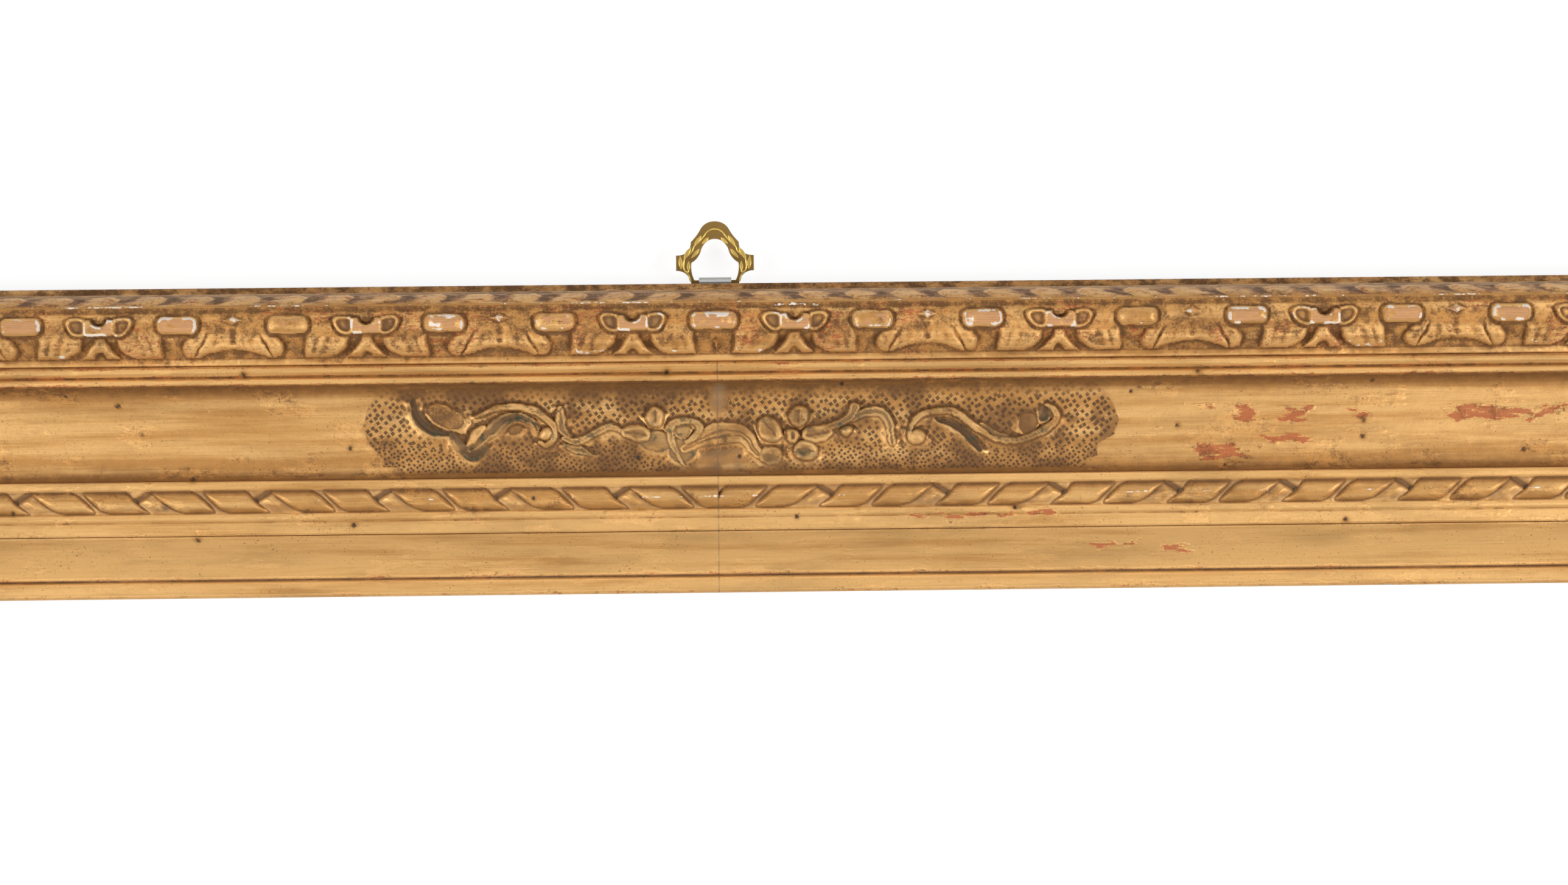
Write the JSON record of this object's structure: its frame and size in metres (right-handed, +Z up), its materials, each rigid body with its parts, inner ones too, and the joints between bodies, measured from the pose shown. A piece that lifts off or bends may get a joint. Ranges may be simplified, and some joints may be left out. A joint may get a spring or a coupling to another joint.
{
  "type": "gilded picture frame",
  "caption": "Carved and gilded wooden picture frame with mitred rails, a separate sight slip, spliced top and bottom rails and a brass ring hanger on a folded strap.",
  "frame": {"origin": "the hook's seat, at the top of the eye of the hanger ring, in the ring's middle plane", "axes": "+X to the right seen from the front, +Y back towards the wall, +Z up"},
  "size_m": [0.839, 0.0453, 0.7502],
  "materials": {
    "gilding": "old water gilding over red bole and gesso, rubbed and toned, on bare aged wood at the back",
    "key_wood": "planed dark hardwood",
    "splice_wood": "planed pale hardwood",
    "iron": "dull oxidised iron",
    "plated_steel": "satin plated sheet steel",
    "brass": "bright stamped brass"
  },
  "bodies": {
    "frame": {"top_rail_left": "gilding", "top_rail_right": "gilding", "bottom_rail_left": "gilding", "bottom_rail_right": "gilding", "left_rail": "gilding", "right_rail": "gilding", "top_sight_slip_left": "gilding", "top_sight_slip_right": "gilding", "bottom_sight_slip_left": "gilding", "bottom_sight_slip_right": "gilding", "left_sight_slip": "gilding", "right_sight_slip": "gilding", "top_slip_pin_left_1": "iron", "top_slip_pin_left_2": "iron", "top_slip_pin_right_1": "iron", "top_slip_pin_right_2": "iron", "bottom_slip_pin_left_1": "iron", "bottom_slip_pin_left_2": "iron", "bottom_slip_pin_right_1": "iron", "bottom_slip_pin_right_2": "iron", "left_slip_pin_1": "iron", "left_slip_pin_2": "iron", "right_slip_pin_1": "iron", "right_slip_pin_2": "iron", "mitre_key_top_right": "key_wood", "mitre_key_bottom_right": "key_wood", "mitre_key_bottom_left": "key_wood", "mitre_key_top_left": "key_wood", "top_splice_plate": "splice_wood", "bottom_splice_plate": "splice_wood", "top_splice_dowel_outer": "splice_wood", "top_splice_dowel_inner": "splice_wood", "bottom_splice_dowel_outer": "splice_wood", "bottom_splice_dowel_inner": "splice_wood", "top_plate_screw_1": "iron", "top_plate_screw_2": "iron", "top_plate_screw_3": "iron", "top_plate_screw_4": "iron", "bottom_plate_screw_1": "iron", "bottom_plate_screw_2": "iron", "bottom_plate_screw_3": "iron", "bottom_plate_screw_4": "iron", "hanger_strap": "plated_steel", "hanger_screw_1": "plated_steel", "hanger_screw_2": "plated_steel"},
    "ring": {"hanger_ring": "brass"}
  },
  "joints": [
    {"name": "ring_swing", "type": "hinge", "parent": "frame", "child": "ring", "pos_m": [0, 0, -0.0142], "axis": [1, 0, 0], "range_deg": [-175, 90]}
  ]
}
